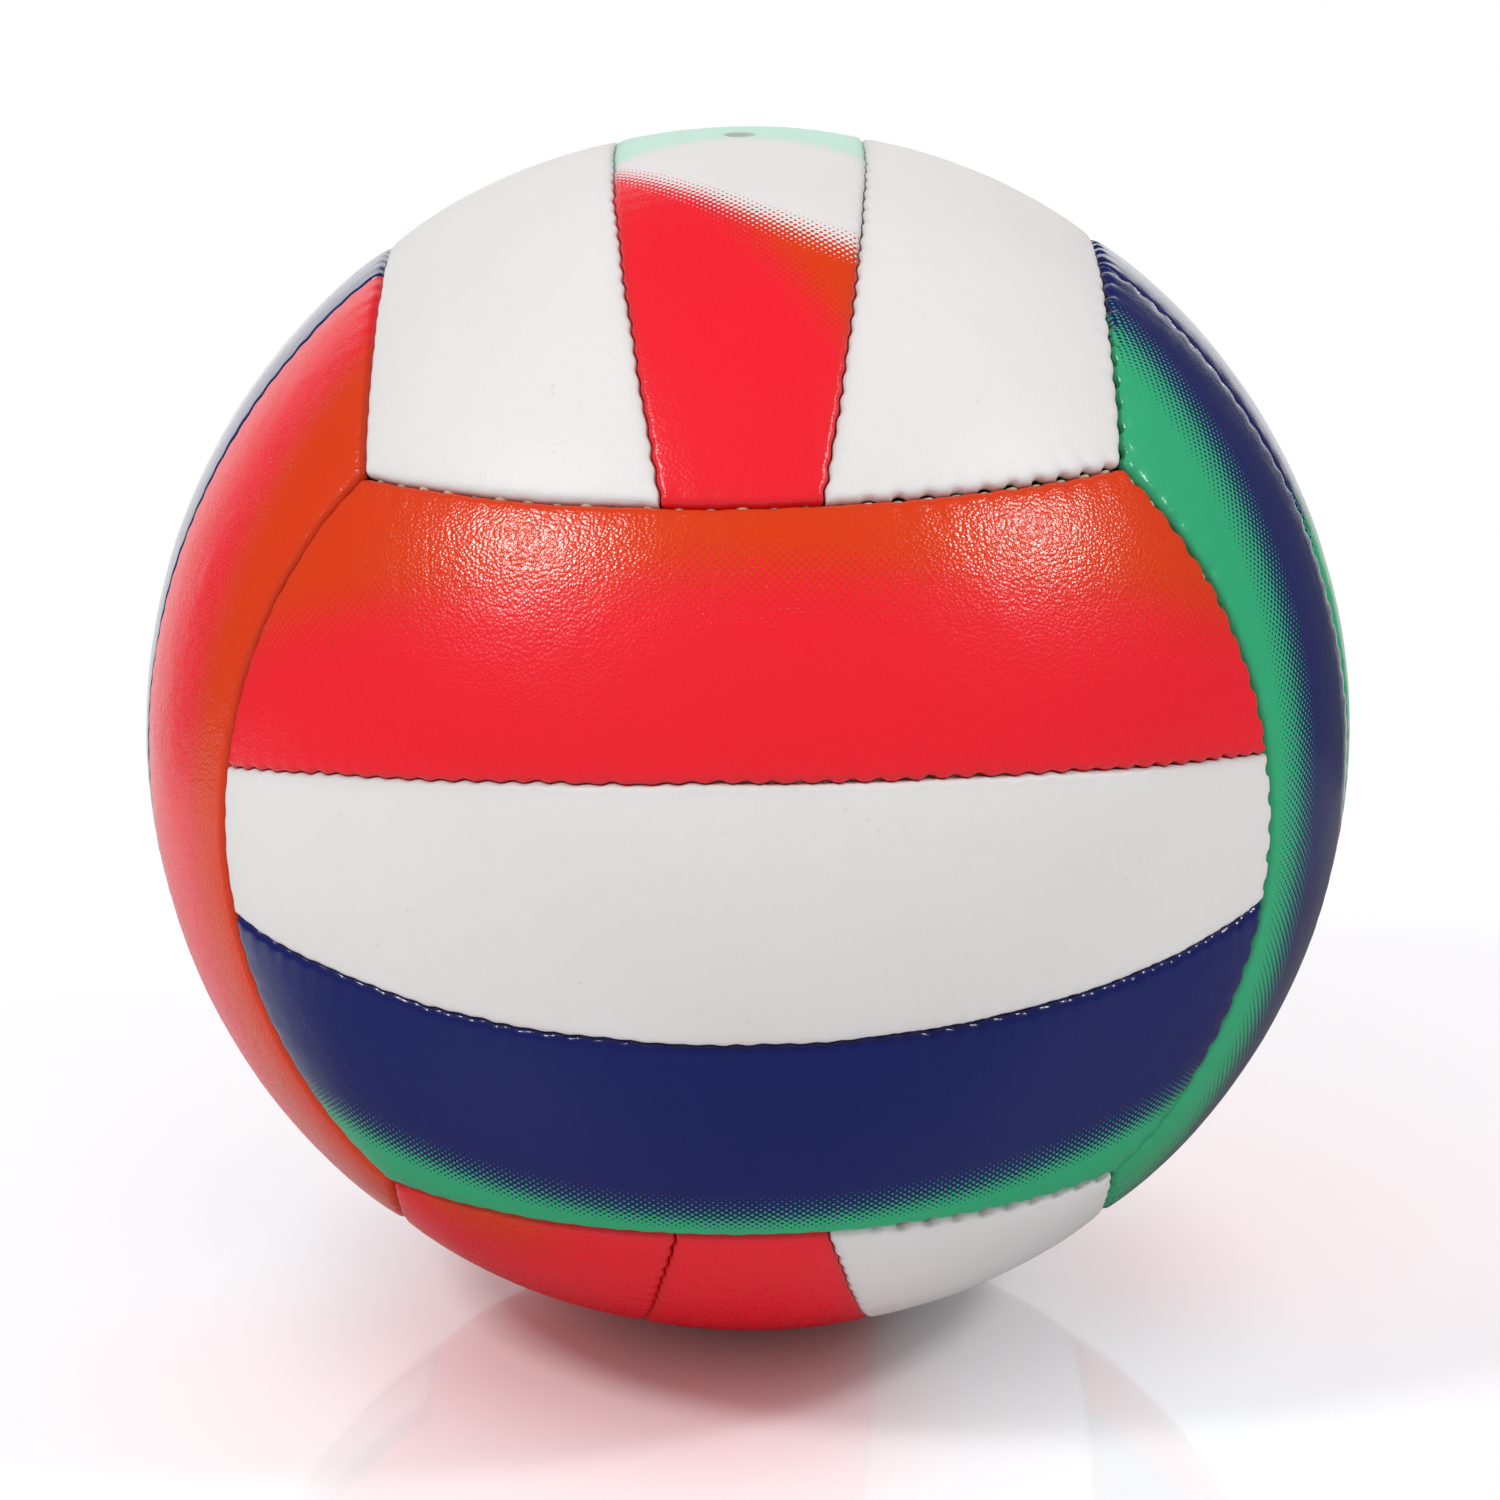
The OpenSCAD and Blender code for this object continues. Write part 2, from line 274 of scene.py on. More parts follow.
cover_sizes = {
    "Columns": 264,
    "Rows": 88,
    "Levels": 4,
    "Along": (1.0, 0.0, 0.0),
    "Across": (0.0, 1.0, 0.0),
    "Outward": (0.0, 0.0, 1.0),
    "Skin": 1.4 * mm,
    "Turned In": 4.85 * mm,
    "Shoulder Width": 1.4 * mm,
    "Shoulder Depth": 1.1 * mm,
    "Strip Tightness": 0.8,
    "Face Crown": 0.6 * mm,
    "Strip Crown": 0.25 * mm,
    "Crown Reach": 5 * mm,
    "End Notch": 0.9 * mm,
    "Long Notch": 0.12 * mm,
    "Strip Notch": 0.12 * mm,
    "Strip Zigzag": 0.35 * mm,
    "Notch Reach": 1.2 * mm,
    "Notch Depth": 0.3 * mm,
    "Pucker": 0.1 * mm,
    "Pucker Reach": 3 * mm,
    "Tight Pull": 0.12,
    "Loose Scale": 34.0,
    "Corner Round": 0.15 * mm,
    "Corner Reach": 1.5 * mm,
    "Gap Reach": 2 * mm,
    "Wander": 1 * mm,
    "Wander Reach": 4 * mm,
    "Wander Scale": 70.0,
    "Waviness": 0.36 * mm,
    "Wave Scale": 55.0,
    "Valve Dent": 0.0,
    "Valve Dent Reach": 1.3 * mm,
    "Seed": 3.0,
}


def cover_tree(name, outer):
    """A tree that bends a block into the tray of a middle strip, or of an outer one."""
    tree, given = new_tree(name, cover_sizes)
    start = Flow(tree)
    counts = {"Vertices X": given["Columns"], "Vertices Y": given["Rows"], "Vertices Z": given["Levels"]}
    block = start.node("GeometryNodeMeshCube", None, {"Size": (2, 2, 2), **counts})
    corner = start.node("ShaderNodeSeparateXYZ", None, {0: start.node("GeometryNodeInputPosition")})
    column_crowding = 0.1
    row_crowding = 0.2
    column = corner.also("X")
    column = column * (1 + column_crowding * (1 - column * column))
    row = corner.also("Y")
    row = row * (1 + row_crowding * (1 - row * row))
    level = (corner.also("Z") + 1) / 2

    if outer:
        share = (row + 1) / 2
        far_edge = (corner_height / (column * (math.pi / 2 - corner_angle)).cosine()).arcsine()
        tilt = strip_angle * (1 - share) + share * far_edge
        end_tilt = strip_angle + share * (math.pi / 4 - strip_angle)
    else:
        tilt = row * strip_angle
        end_tilt = tilt
    turn = column * (corner_height / end_tilt.cosine()).arccosine()
    along = turn.sine()
    across = turn.cosine() * tilt.sine()
    outward = turn.cosine() * tilt.cosine()

    ends, strips, longs = seam_lines(along, across, outward, outer)
    place = given["Along"].scaled(along).moved(given["Across"].scaled(across))
    place = place.moved(given["Outward"].scaled(outward))
    spot = place.scaled(ball_radius)
    uneven = spot.noise(0.9 / face_pitch, 1)
    rightward = place.node("ShaderNodeSeparateXYZ", None, {0: place})
    loose = (spot.noise(given["Loose Scale"], 1) + 0.45 * rightward - 0.1).eased(0.46, 0.58)
    pull = (0.5 + uneven) * (given["Tight Pull"] + (1 - given["Tight Pull"]) * loose)
    wander = given["Wander"] * (spot.noise(given["Wander Scale"], 2) - 0.5 + 0.3 * (uneven - 0.5))

    notches = {"end": given["End Notch"], "strip": given["Strip Notch"], "long": given["Long Notch"]}
    crowns = {"end": given["Face Crown"], "strip": given["Strip Crown"], "long": given["Face Crown"]}
    zigzag = given["Strip Zigzag"] * ((strips[1] * wave).cosine() * uneven)
    strip_lean = wander + zigzag
    leans = {"end": -wander, "strip": strip_lean if outer else -strip_lean, "long": wander}
    sides = {"end": ends, "strip": strips}
    if outer:
        sides["long"] = longs
    nearest = {"end": strips[0].at_most(longs[0]) if outer else strips[0]}
    nearest["strip"] = ends[0]
    nearest["long"] = ends[0]
    shoulders = 0
    crown = 0
    drop = 0
    push = {}
    edge_gap = ends[0]
    for side, (gap, phase) in sides.items():
        gap = gap.at_least(0)
        edge_gap = edge_gap.at_most(gap)
        stitch = (phase * wave).cosine()
        pulled = stitch.root() * pull * nearest[side].eased(0.5 * mm, 2.5 * mm)
        tightness = given["Strip Tightness"] if side == "strip" else 1
        short = 1 - (gap / (given["Shoulder Width"] * tightness)).at_most(1)
        shoulder = given["Shoulder Depth"] * tightness * (1 - (1 - short * short).root())
        shoulders = shoulders + (shoulder / mm) ** 4
        crown = crown + (crowns[side] / mm * gap.fading(given["Crown Reach"])) ** 4
        drop = drop + given["Notch Depth"] * pulled * gap.fading(given["Notch Reach"])
        drop = drop + given["Pucker"] * (stitch * uneven) * gap.fading(given["Pucker Reach"])
        inset = (seam_gap / 2) * gap.fading(given["Gap Reach"])
        inset = inset + leans[side] * gap.fading(given["Wander Reach"])
        inset = inset + notches[side] * pulled * gap.fading(given["Notch Reach"])
        corner_gap = gap + nearest[side].at_least(0)
        inset = inset + given["Corner Round"] * corner_gap.fading(given["Corner Reach"])
        push[side] = inset / ball_radius
    drop = drop + mm * (shoulders ** 0.25 + crown ** 0.25)
    waves = spot.moved(given["Along"].scaled(given["Seed"]))
    drop = drop + given["Waviness"] * waves.noise(given["Wave Scale"], 3, 0.6)
    from_valve = outward.arccosine() * ball_radius - valve_hole / 2
    drop = drop + given["Valve Dent"] * from_valve.at_least(0).fading(given["Valve Dent Reach"])

    sin_strip = math.sin(strip_angle)
    cos_strip = math.cos(strip_angle)
    if outer:
        push_outward = push["end"] / seam_slope - push["strip"] * sin_strip
        push_across = push["strip"] * cos_strip - push["long"] / seam_slope
    else:
        push_outward = push["end"] / seam_slope + push["strip"] * sin_strip
        push_across = -(push["strip"] * cos_strip * row.math("SIGN", row))
    place = place.moved(given["Outward"].scaled(push_outward))
    place = place.moved(given["Across"].scaled(push_across))
    place = place.vector("NORMALIZE", place)

    top = ball_radius - drop
    inside = edge_gap > given["Skin"]
    under = (ball_radius - given["Turned In"]) * (1 - inside) + (top - given["Skin"]) * inside
    radius = top * level + under * (1 - level)
    lifted = {"Geometry": block, "Position": place.scaled(radius)}
    close_tree(block.node("GeometryNodeSetPosition", None, lifted), given["Material"])
    return tree


def srgb(red, green, blue):
    """A colour as the eye reads it, 0 to 255, turned into the linear one that Blender works in."""
    parts = [value / 255 for value in (red, green, blue)]
    linear = [part / 12.92 if part <= 0.04045 else ((part + 0.055) / 1.055) ** 2.4 for part in parts]
    return (*linear, 1.0)


def new_material(name, constants=None):
    """A material, the start of its tree and its shader with the constants set on it."""
    material = bpy.data.materials.new(name)
    material.use_nodes = True
    shader = material.node_tree.nodes["Principled BSDF"]
    for key, value in (constants or {}).items():
        shader.inputs[key].default_value = value
    return material, Flow(material.node_tree), shader


def feed(shader, **flows):
    """Links flows to the shader's sockets, named with _ for a space."""
    for name, flow in flows.items():
        flow.tree.links.new(flow.socket, shader.inputs[name.replace("_", " ")])


# How each ink looks: its colour, its roughness, how deep the leather's grain shows in it, its shine, and
# how much of it a clear varnish covers, in fine streaks
inks = {
    "red": (srgb(250, 22, 42), 0.27, 0.75, 0.58, 0.0),
    "orange": (srgb(230, 60, 3), 0.23, 1.0, 0.58, 0.0),
    "white": (srgb(236, 233, 233), 0.42, 0.35, 0.3, 0.0),
    "navy": (srgb(15, 29, 102), 0.2, 0.4, 0.2, 0.8),
    "green": (srgb(52, 180, 126), 0.22, 0.4, 0.4, 0.15),
    "mint": (srgb(196, 238, 222), 0.4, 0.4, 0.3, 0.0),
}
varnish_roughness = 0.18
dot_period = 1.37 * mm
dot_edge = 0.05
dot_relief = 0.7
grain_size = 0.55 * mm
grain_depth = 0.075 * mm
wrinkle_size = 2.2 * grain_size
crease_depth = 0.4
# The brown that the panels darken to along the seams, which is painted shade mixed with grime, and that
# the specks of grime take; then how far from a seam that darkening reaches.
brown_darkening = srgb(70, 52, 44)
edge_darkening_reach = 0.8 * mm
# The painted shade deep in the seams: its dark colour, and the depths below the ball's surface over which
# it comes in.
painted_seam_shade = srgb(38, 30, 30)
painted_shade_from = 2 * mm
painted_shade_by = 2.8 * mm


def tone(distance, middle_band, power=1.0):
    """How much of the surface dots cover: none before a printed edge, all of it past the edge."""
    return (distance / middle_band + 0.5).clamped() ** power


def front_upper_prints(x, y):
    edge = 51.5 * mm - 19.5 * mm * (abs(x) / (90 * mm)) ** 1.9
    return [("orange", tone(y - edge, 17 * mm, 1.6))]


def front_lower_prints(x, y):
    rise = 14 * mm * (abs(x) / (84 * mm)) ** 1.8
    return [("green", tone(rise - 56.8 * mm - y, 12.5 * mm, 1.85))]


def top_middle_prints(x, y):
    red_edge = 46.5 * mm - 28 * mm * ((19 * mm - y).at_least(0) / (40 * mm)) ** 1.6
    orange_edge = 2 * mm + 0.62 * (x - 44 * mm)
    orange_part = tone(y - orange_edge, 13 * mm) * (x - 30 * mm > 0)
    return [
        ("orange", orange_part),
        ("white", tone(red_edge - x, 11 * mm)),
        ("mint", tone(5 * mm + 8 * mm * (abs(y) / (21 * mm)) ** 2 - x, 8 * mm)),
        ("green", tone(-28 * mm - x, 26 * mm)),
        ("navy", tone(-66 * mm - x, 22 * mm)),
    ]


def right_front_prints(x, y):
    edge = 20 * mm * (abs(x - 6 * mm) / (92 * mm)) ** 1.6 - 55.3 * mm
    return [("navy", tone(y - edge + 0.5 * mm, 16 * mm))]


def left_front_prints(x, y):
    edge = 13 * mm * (abs(x - 2 * mm) / (75 * mm)) ** 1.9 - 52 * mm
    return [("orange", tone(edge - y, 16 * mm, 1.6))]


def left_middle_prints(x, y):
    edge = 14 * mm * (x.at_least(0) / (98 * mm)) ** 6 - 8 * mm
    return [("navy", tone(edge - y, 4 * mm))]


def left_back_prints(x, y):
    edge = 54 * mm - 20 * mm * (abs(x) / (88 * mm)) ** 4
    return [("green", tone(y - edge, 14 * mm, 1.6)), ("red", tone(x - 93 * mm, 6 * mm))]


def right_middle_prints(x, y):
    return [("green", tone(x + 42 * mm, 16 * mm)), ("red", tone(x - 13 * mm, 8 * mm))]


def right_back_prints(x, y):
    edge = 54 * mm - 20 * mm * (abs(x) / (88 * mm)) ** 4
    return [("orange", tone(y - edge, 16 * mm, 1.3))]


def back_upper_prints(x, y):
    edge = 52 * mm - 22 * mm * (abs(x) / (88 * mm)) ** 4
    return [("green", tone(y - edge, 15 * mm, 2))]


def back_lower_prints(x, y):
    edge = 53 * mm - 22 * mm * (abs(x) / (90 * mm)) ** 4
    return [("orange", tone(-y - edge, 18 * mm, 1.3))]


def bottom_left_prints(x, y):
    reach = ((x + 95 * mm) ** 2 + (y + 58 * mm) ** 2).root()
    return [("orange", tone(26 * mm - reach, 18 * mm, 1.3))]


def plain(x, y):
    return []


def cover_material(name, number, axes, side, ink, prints):
    """Printed and coated leather. The inks' dots, the grain, the specks of grime, the brown darkening
    along the seams, which is painted shade mixed with grime, and the painted shade deep in the seams all
    follow a place's direction from the ball's middle. The number gives each cover creases of its own."""
    colour, roughness, grain, shine, varnish = inks[ink]
    constants = {"Specular IOR Level": shine, "Coat Roughness": varnish_roughness}
    material, start, shader = new_material(name, constants)
    spot = start.node("ShaderNodeTexCoord", out="Object")
    direction = spot.vector("NORMALIZE", spot)
    along, across, outward = (direction.dot(axis) for axis in axes)
    x = along.arcsine() * ball_radius
    y = across.arcsine() * ball_radius

    lattice = (x * (wave / dot_period)).cosine() * (y * (wave / dot_period)).cosine()
    level = 0.5 + 0.5 * lattice
    relief = 0
    for printed, cover in prints(x, y):
        next_colour, next_roughness, next_grain, _, next_varnish = inks[printed]
        dots = (level + cover * (1 + 2 * dot_edge) - 1).eased(0, 2 * dot_edge)
        colour = dots.between(colour, next_colour)
        roughness = roughness + (next_roughness - roughness) * dots
        grain = grain + (next_grain - grain) * dots
        varnish = varnish + (next_varnish - varnish) * dots
        relief = relief + dot_relief * dots

    ends, strips, longs = seam_lines(along, across * side if side else across, outward, side != 0)
    edge_gap = ends[0].at_most(strips[0])
    if side:
        edge_gap = edge_gap.at_most(longs[0])
    patches = spot.noise(45, 3)
    specks = spot.noise(700, 1)
    # Painted shade mixed with grime: within about a millimetre of each seam the colour darkens to brown,
    # in patches. The scattered dark specks are grime.
    edge_and_speck_darkening = edge_gap.at_least(0).fading(edge_darkening_reach) * (0.1 + 0.35 * patches)
    edge_and_speck_darkening = edge_and_speck_darkening + (specks - 0.73).at_least(0) * 1.2
    colour = (edge_and_speck_darkening * 0.8).clamped().between(colour, brown_darkening)
    # Painted shade: where the surface lies deep in a seam, 2 to 2.8 mm below the ball's surface, the
    # colour is painted dark.
    depth = ball_radius - spot.vector("LENGTH", spot, out="Value")
    colour = depth.eased(painted_shade_from, painted_shade_by).between(colour, painted_seam_shade)
    tinted = (patches * 0.8).between(colour, (0.95, 0.94, 0.92, 1), "MULTIPLY")

    cells = {"Vector": spot, "Scale": 1 / grain_size, "Smoothness": 0.25}
    pebbles = start.node("ShaderNodeTexVoronoi", {"feature": "SMOOTH_F1"}, cells)
    wrinkles = spot.noise(1 / wrinkle_size, 4, 0.6)
    stretched = start.node("ShaderNodeCombineXYZ", None, {"X": x * 160, "Y": y * 22, "Z": number})
    creases = (1 - abs(stretched.noise(1, 1) - 0.5) * 20).clamped() * ((patches - 0.54) * 12).clamped()
    height = (wrinkles * 0.08 - pebbles) * grain + relief - crease_depth * creases
    bump = start.node("ShaderNodeBump", None, {"Height": height, "Distance": grain_depth, "Strength": 1.0})
    worn = roughness + ((patches - 0.5) * 0.05 + (wrinkles - 0.5) * 0.05) * grain
    worn = (worn + 0.08 * edge_gap.at_least(0).fading(1.5 * mm)).clamped()
    combed = start.node("ShaderNodeCombineXYZ", None, {"X": x * 60, "Y": y * 900, "Z": number})
    streaks = combed.noise(1, 2)
    feed(shader, Base_Color=tinted, Roughness=worn, Normal=bump)
    feed(shader, Coat_Weight=varnish * (0.7 + 0.3 * streaks))
    return material


def pierce(panel, width):
    """Cuts the valve's hole, along +Z, through a cover."""
    punch_data = bmesh.new()
    bmesh.ops.create_cone(
        punch_data, cap_ends=True, segments=48, radius1=width / 2, radius2=width / 2, depth=ball_radius
    )
    bmesh.ops.translate(punch_data, vec=(0, 0, ball_radius), verts=punch_data.verts)
    punch_mesh = bpy.data.meshes.new("punch")
    punch_data.to_mesh(punch_mesh)
    punch_data.free()
    punch = bpy.data.objects.new("punch", punch_mesh)
    scene.collection.objects.link(punch)
    cut = panel.modifiers.new("hole", "BOOLEAN")
    cut.object = punch
    cut.operation = "DIFFERENCE"
    shown = panel.evaluated_get(bpy.context.evaluated_depsgraph_get())
    mesh = bpy.data.meshes.new_from_object(shown)
    panel.modifiers.remove(cut)
    panel.data = mesh
    bpy.data.objects.remove(punch)


faces = {
    "front": ((1, 0, 0), (0, 0, 1), (0, -1, 0)),
    "back": ((-1, 0, 0), (0, 0, 1), (0, 1, 0)),
    "top": ((0, -1, 0), (1, 0, 0), (0, 0, 1)),
    "bottom": ((0, 1, 0), (1, 0, 0), (0, 0, -1)),
    "left": ((0, 0, 1), (0, 1, 0), (-1, 0, 0)),
    "right": ((0, 0, -1), (0, 1, 0), (1, 0, 0)),
}
covers = {
    "front_upper": ("red", front_upper_prints),
    "front_middle": ("white", plain),
    "front_lower": ("navy", front_lower_prints),
    "back_upper": ("navy", back_upper_prints),
    "back_middle": ("white", plain),
    "back_lower": ("red", back_lower_prints),
    "top_left": ("white", plain),
    "top_middle": ("red", top_middle_prints),
    "top_right": ("white", plain),
    "bottom_left": ("red", bottom_left_prints),
    "bottom_middle": ("red", plain),
    "bottom_right": ("white", plain),
    "left_front": ("red", left_front_prints),
    "left_middle": ("white", left_middle_prints),
    "left_back": ("navy", left_back_prints),
    "right_front": ("green", right_front_prints),
    "right_middle": ("navy", right_middle_prints),
    "right_back": ("red", right_back_prints),
}
strip_sides = {
    "upper": 1, "lower": -1, "middle": 0, "left": -1, "right": 1, "front": -1, "back": 1,
}
trays = {False: cover_tree("middle_tray", False), True: cover_tree("outer_tray", True)}
for number, (cover, (ink, prints)) in enumerate(covers.items()):
    face, strip = cover.split("_")
    side = strip_sides[strip]
    turned = side or 1
    along, across, outward = faces[face]
    shape = {
        "Along": tuple(float(turned * part) for part in along),
        "Across": tuple(float(turned * part) for part in across),
        "Outward": tuple(float(part) for part in outward),
        "Valve Dent": 0.35 * mm if cover == "top_middle" else 0.0,
        "End Notch": 1.7 * mm if face == "bottom" else cover_sizes["End Notch"],
        "Strip Tightness": 1.45 if cover == "front_lower" else cover_sizes["Strip Tightness"],
    }
    material = cover_material(cover + "_leather", number, faces[face], side, ink, prints)
    panel = grown(trays[side != 0], cover + "_panel", material, shape)
    if cover == "top_middle":
        pierce(panel, valve_hole)
    node = cover + "_cover"
    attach(panel, "root")
    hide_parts(node)

# The stitches: waxed cream thread that runs along every seam below the surface and rises into the
# notches. Twelve arcs join the faces, and twelve join the strips within them.
hidden_end = math.radians(2)
seam_sizes = {
    "Circle Angle": corner_angle,
    "Stitch Pitch": face_pitch,
    "Half Arc": math.pi / 4 - hidden_end,
    "Stitches": 27,
    "Stitch Length": 2.5 * mm,
    "Stitch Radius": 0.31 * mm,
    "Stitch Depth": 1.95 * mm,
    "Stitch Rise": 0.9 * mm,
    "Uneven": 0.6 * mm,
    "Run Radius": 0.22 * mm,
    "Run Depth": 2.8 * mm,
    "Seed": 7,
}


def seam_tree():
    """A tree that makes one sewn arc round +Z and lays a copy along each seam it is given."""
    tree, given = new_tree("sewn_seam", seam_sizes)
    start = Flow(tree)

    def on_arc(azimuth, depth):
        """The place at an angle along the arc, the way out there and the way along it."""
        out = start.node("ShaderNodeCombineXYZ", None, {
            "X": given["Circle Angle"].sine() * azimuth.cosine(),
            "Y": given["Circle Angle"].sine() * azimuth.sine(),
            "Z": given["Circle Angle"].cosine(),
        })
        onward = start.node("ShaderNodeCombineXYZ", None, {"X": -azimuth.sine(), "Y": azimuth.cosine()})
        return out.scaled(ball_radius - depth), out, onward

    points = start.node("GeometryNodePoints", None, {"Count": given["Stitches"]})
    number = start.node("GeometryNodeInputIndex") - (given["Stitches"] - 1) / 2
    slip = start.node("FunctionNodeRandomValue", {"data_type": "FLOAT"}, {"Seed": given["Seed"]}, out=1)
    azimuth = number * given["Stitch Pitch"] / (ball_radius * given["Circle Angle"].sine())
    place, out, onward = on_arc(azimuth, given["Stitch Depth"] + given["Uneven"] * slip)
    points = start.node("GeometryNodeSetPosition", None, {"Geometry": points, "Position": place})
    axes = {"primary_axis": "Z", "secondary_axis": "X"}
    facing = start.node("FunctionNodeAxesToRotation", axes, {0: out, 1: onward})

    half = given["Stitch Length"] / 2
    rise = given["Stitch Rise"]
    low = start.node("ShaderNodeCombineXYZ", None, {"X": -half, "Z": -rise})
    high = start.node("ShaderNodeCombineXYZ", None, {"Z": rise})
    last = start.node("ShaderNodeCombineXYZ", None, {"X": half, "Z": -rise})
    bend = {"Resolution": 8, "Start": low, "Middle": high, "End": last}
    bow = start.node("GeometryNodeCurveQuadraticBezier", None, bend)
    ring = {"Resolution": 7, "Radius": given["Stitch Radius"]}
    ring = start.node("GeometryNodeCurvePrimitiveCircle", None, ring)
    stitch = {"Curve": bow, "Profile Curve": ring, "Fill Caps": True}
    stitch = start.node("GeometryNodeCurveToMesh", None, stitch)
    sewn = {"Points": points, "Instance": stitch, "Rotation": facing}
    sewn = start.node("GeometryNodeInstanceOnPoints", None, sewn)

    line = start.node("GeometryNodeCurvePrimitiveLine")
    line = start.node("GeometryNodeResampleCurve", {"mode": "COUNT"}, {"Curve": line, "Count": 90})
    share = start.node("GeometryNodeSplineParameter", out="Factor")
    place, out, onward = on_arc((share * 2 - 1) * given["Half Arc"], given["Run Depth"])
    line = start.node("GeometryNodeSetPosition", None, {"Geometry": line, "Position": place})
    thin = {"Resolution": 6, "Radius": given["Run Radius"]}
    thin = start.node("GeometryNodeCurvePrimitiveCircle", None, thin)
    run = {"Curve": line, "Profile Curve": thin, "Fill Caps": True}
    run = start.node("GeometryNodeCurveToMesh", None, run)

    arc = start.node("GeometryNodeJoinGeometry", None, {"Geometry": sewn})
    tree.links.new(run.socket, arc.socket.node.inputs["Geometry"])
    vector = {"data_type": "FLOAT_VECTOR"}
    axis = start.node("GeometryNodeInputNamedAttribute", vector, {"Name": "axis"})
    middle = start.node("GeometryNodeInputNamedAttribute", vector, {"Name": "middle"})
    turned = start.node("FunctionNodeAxesToRotation", axes, {0: axis, 1: middle})
    seams = {"Points": given["Geometry"], "Instance": arc, "Rotation": turned}
    close_tree(start.node("GeometryNodeInstanceOnPoints", None, seams), given["Material"])
    return tree


def seam_places(name, places):
    """A mesh with one vertex for each seam, which holds its circle's axis and the way to its middle."""
    mesh = bpy.data.meshes.new(name)
    mesh.from_pydata([(0, 0, 0)] * len(places), [], [])
    for column, label in enumerate(("axis", "middle")):
        values = mesh.attributes.new(label, "FLOAT_VECTOR", "POINT").data
        for value, place in zip(values, places):
            value.vector = place[column]
    return mesh


def thread_material():
    """Waxed polyester, cream with a little grime, with the twist of its plies."""
    material, start, shader = new_material("cream_thread", {"Specular IOR Level": 0.3})
    spot = start.node("ShaderNodeTexCoord", out="Object")
    fibres = spot.noise(5200, 3, 0.7)
    # Grime on the thread, in small brown patches.
    brown_darkening = spot.noise(260, 2)
    colour = fibres.between(srgb(196, 174, 138), srgb(238, 224, 196))
    colour = (brown_darkening - 0.45).at_least(0).clamped().between(colour, srgb(96, 70, 50))
    bump = start.node("ShaderNodeBump", None, {"Height": fibres, "Distance": 0.12 * mm})
    feed(shader, Base_Color=colour, Roughness=0.6 + 0.3 * fibres, Normal=bump)
    return material


face_seams = []
strip_seams = []
for along, across, outward in faces.values():
    along, across, outward = Vector(along), Vector(across), Vector(outward)
    for way in (1, -1):
        face_seams.append((outward, way * along))
        tipped = math.cos(strip_angle) * way * across - math.sin(strip_angle) * outward
        middle = math.sin(strip_angle) * way * across + math.cos(strip_angle) * outward
        strip_seams.append((tipped, middle))

thread = thread_material()
sewing = seam_tree()
strip_end = math.acos(corner_height / math.cos(strip_angle))
strip_sewing = {
    "Circle Angle": math.pi / 2,
    "Stitch Pitch": strip_pitch,
    "Half Arc": strip_end - hidden_end,
    "Stitches": 47,
    "Stitch Depth": 2.4 * mm,
    "Run Depth": 3.2 * mm,
}
runs = {
    "face_seam": (face_seams, {}),
    "strip_seam": (strip_seams, strip_sewing),
}
for seam, (places, own_sizes) in runs.items():
    stitches = grown(
        sewing, seam + "_stitches", thread, {**seam_sizes, **own_sizes}, seam_places(seam + "s", places)
    )
    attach(stitches, "root")
    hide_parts(seam + "_thread")


# The pads: eighteen pieces of closed-cell foam, cut to the panels' shapes and laid in the trays. They
# give the panels their soft touch.
def dress(material, *names):
    """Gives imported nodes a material."""
    for name in names:
        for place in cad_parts[name].material_slots:
            place.material = material


foam, start, shader = new_material("panel_foam", {"Specular IOR Level": 0.2})
spot = start.node("ShaderNodeTexCoord", out="Object")
cells = start.node("ShaderNodeTexVoronoi", None, {"Vector": spot, "Scale": 1 / (0.6 * mm)})
cloud = spot.noise(60, 2)
tint = cells.between(srgb(246, 238, 206), srgb(214, 200, 160))
pores = start.node("ShaderNodeBump", None, {"Height": cells, "Distance": 0.2 * mm, "Strength": 0.8})
feed(shader, Base_Color=tint, Roughness=0.85 + 0.1 * cloud, Normal=pores)
dress(foam, *(cover + "_foam" for cover in covers))

# The linings: woven polyester-cotton glued behind each pad, which stops the panel from stretching.
# The patch behind the valve hole is cut from the same cloth.
cloth, start, shader = new_material("lining_cloth", {"Specular IOR Level": 0.2, "Sheen Weight": 0.2})
spot = start.node("ShaderNodeTexCoord", out="Object")
grid = start.node("ShaderNodeSeparateXYZ", None, {0: spot})
yarn = wave / (0.8 * mm)
weave = (grid.also("X") * yarn).sine() * (grid.also("Y") * yarn).sine() + (grid.also("Z") * yarn).sine()
fuzz = spot.noise(900, 3)
tint = (0.5 + 0.25 * weave).clamped().between(srgb(206, 204, 198), srgb(238, 237, 232))
threads = start.node("ShaderNodeBump", None, {"Height": weave + fuzz, "Distance": 0.1 * mm})
feed(shader, Base_Color=tint, Roughness=0.8 + 0.15 * fuzz, Normal=threads)
dress(cloth, *(cover + "_lining" for cover in covers), "valve_patch")

# The bladder: black butyl rubber, moulded in one piece and dusted with talc. It fills the ball, and
# only its valve holds it in place.
butyl, start, shader = new_material("butyl_bladder", {"Specular IOR Level": 0.4})
spot = start.node("ShaderNodeTexCoord", out="Object")
talc = spot.noise(38, 5, 0.65)
tint = talc.eased(0.35, 0.8).between(srgb(34, 34, 36), srgb(92, 91, 90))
feed(shader, Base_Color=tint, Roughness=0.5 + 0.35 * talc)
dress(butyl, "bladder")

